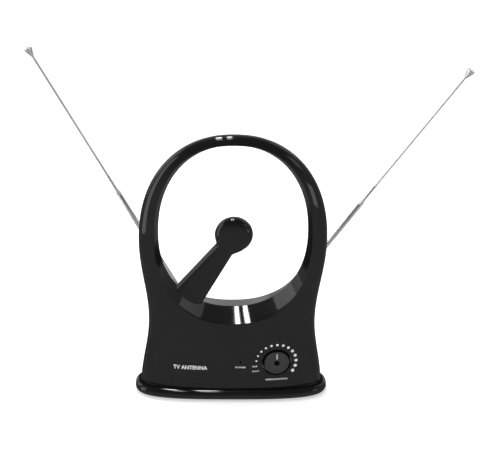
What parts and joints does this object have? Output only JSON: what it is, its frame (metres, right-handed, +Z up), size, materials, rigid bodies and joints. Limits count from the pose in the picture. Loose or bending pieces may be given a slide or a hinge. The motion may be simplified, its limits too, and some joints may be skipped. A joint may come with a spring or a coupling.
{
  "type": "indoor television antenna",
  "caption": "Indoor television antenna: oval ring on a flared base, domed centre disc on an arm, gain knob, and telescopic rods on rear swivels.",
  "frame": {"origin": "centre of the non-slip pad's underside, on the ground under the middle of the base", "axes": "+X to the object's right seen from the front, -Y towards its front face, +Z up"},
  "size_m": [0.4377, 0.0635, 0.3732],
  "materials": {
    "gloss_black_abs": "glossy moulded black",
    "knob_abs": "satin black",
    "white_paint": "white filled mark",
    "pad_rubber": "matt black",
    "ballast_steel": "raw plate",
    "zinc_plated_steel": "bright zinc",
    "tinned_copper": "bright sheet",
    "circuit_board": "green solder mask",
    "tinned_steel": "tinned sheet",
    "lead_insulation": "soft coloured insulation",
    "clear_lens": "tinted clear",
    "jack_nylon": "matt black",
    "swivel_nylon": "satin black",
    "nickel_plated_brass": "nickel plated",
    "chrome_plate": "polished plate"
  },
  "bodies": {
    "antenna_body": {"front_shell": "gloss_black_abs", "rear_shell": "gloss_black_abs", "base_plinth": "gloss_black_abs", "base_pad": "pad_rubber", "ballast_plate": "ballast_steel", "ballast_screw_1": "zinc_plated_steel", "ballast_screw_2": "zinc_plated_steel", "bottom_screw_1": "zinc_plated_steel", "bottom_screw_2": "zinc_plated_steel", "bottom_screw_3": "zinc_plated_steel", "bottom_screw_4": "zinc_plated_steel", "shell_screw_1": "zinc_plated_steel", "shell_screw_2": "zinc_plated_steel", "shell_screw_3": "zinc_plated_steel", "shell_screw_4": "zinc_plated_steel", "uhf_loop": "tinned_copper", "arm_front_cover": "gloss_black_abs", "arm_rear_cover": "gloss_black_abs", "arm_element": "tinned_copper", "arm_screw": "zinc_plated_steel", "main_pcb": "circuit_board", "pcb_screw_1": "zinc_plated_steel", "pcb_screw_2": "zinc_plated_steel", "rf_shield_can": "tinned_steel", "gain_pot": "tinned_steel", "gain_pot_nut": "zinc_plated_steel", "gain_ribbon": "lead_insulation", "power_led": "clear_lens", "power_light_pipe": "clear_lens", "f_connector": "chrome_plate", "f_connector_nut": "chrome_plate", "dc_jack": "jack_nylon", "loop_lead_left": "lead_insulation", "loop_lead_right": "lead_insulation", "rod_lead_left": "lead_insulation", "rod_lead_right": "lead_insulation"},
    "gain_knob": {"gain_knob": "knob_abs", "gain_shaft": "zinc_plated_steel", "gain_pointer": "white_paint"},
    "swivel_left": {"swivel_left": "swivel_nylon", "swivel_washer_left": "zinc_plated_steel", "swivel_screw_left": "zinc_plated_steel", "hinge_pin_left": "zinc_plated_steel"},
    "rod_left": {"rod_knuckle_left": "nickel_plated_brass", "rod_tube_1_left": "chrome_plate"},
    "section_2_left": {"rod_tube_2_left": "chrome_plate"},
    "section_3_left": {"rod_tube_3_left": "chrome_plate"},
    "section_4_left": {"rod_wire_left": "chrome_plate", "rod_tip_left": "chrome_plate"},
    "swivel_right": {"swivel_right": "swivel_nylon", "swivel_washer_right": "zinc_plated_steel", "swivel_screw_right": "zinc_plated_steel", "hinge_pin_right": "zinc_plated_steel"},
    "rod_right": {"rod_knuckle_right": "nickel_plated_brass", "rod_tube_1_right": "chrome_plate"},
    "section_2_right": {"rod_tube_2_right": "chrome_plate"},
    "section_3_right": {"rod_tube_3_right": "chrome_plate"},
    "section_4_right": {"rod_wire_right": "chrome_plate", "rod_tip_right": "chrome_plate"}
  },
  "joints": [
    {"name": "gain_turn", "type": "hinge", "parent": "antenna_body", "child": "gain_knob", "pos_m": [0.0469, -0.01946, 0.0451], "axis": [0.0924, -0.9957, 0], "range_deg": [-120, 120]},
    {"name": "swivel_turn_left", "type": "hinge", "parent": "antenna_body", "child": "swivel_left", "pos_m": [-0.0349, 0.0223, 0.065], "axis": [0, -1, 0], "range_deg": [-28.3, 61.7]},
    {"name": "rod_tilt_left", "type": "hinge", "parent": "swivel_left", "child": "rod_left", "pos_m": [-0.0349, 0.032, 0.065], "axis": [-0.8805, 0, -0.4741], "range_deg": [0, 80]},
    {"name": "slide_2_left", "type": "slide", "parent": "rod_left", "child": "section_2_left", "axis": [-0.4741, 0, 0.8805], "range_m": [0, 0.13]},
    {"name": "slide_3_left", "type": "slide", "parent": "section_2_left", "child": "section_3_left", "axis": [-0.4741, 0, 0.8805], "range_m": [-0.02, 0.108]},
    {"name": "slide_4_left", "type": "slide", "parent": "section_3_left", "child": "section_4_left", "axis": [-0.4741, 0, 0.8805], "range_m": [-0.138, 0]},
    {"name": "swivel_turn_right", "type": "hinge", "parent": "antenna_body", "child": "swivel_right", "pos_m": [0.0349, 0.0223, 0.065], "axis": [0, 1, 0], "range_deg": [-34.4, 55.6]},
    {"name": "rod_tilt_right", "type": "hinge", "parent": "swivel_right", "child": "rod_right", "pos_m": [0.0349, 0.032, 0.065], "axis": [-0.8251, 0, 0.565], "range_deg": [0, 80]},
    {"name": "slide_2_right", "type": "slide", "parent": "rod_right", "child": "section_2_right", "axis": [0.565, 0, 0.8251], "range_m": [0, 0.13]},
    {"name": "slide_3_right", "type": "slide", "parent": "section_2_right", "child": "section_3_right", "axis": [0.565, 0, 0.8251], "range_m": [-0.02, 0.108]},
    {"name": "slide_4_right", "type": "slide", "parent": "section_3_right", "child": "section_4_right", "axis": [0.565, 0, 0.8251], "range_m": [-0.138, 0]}
  ]
}
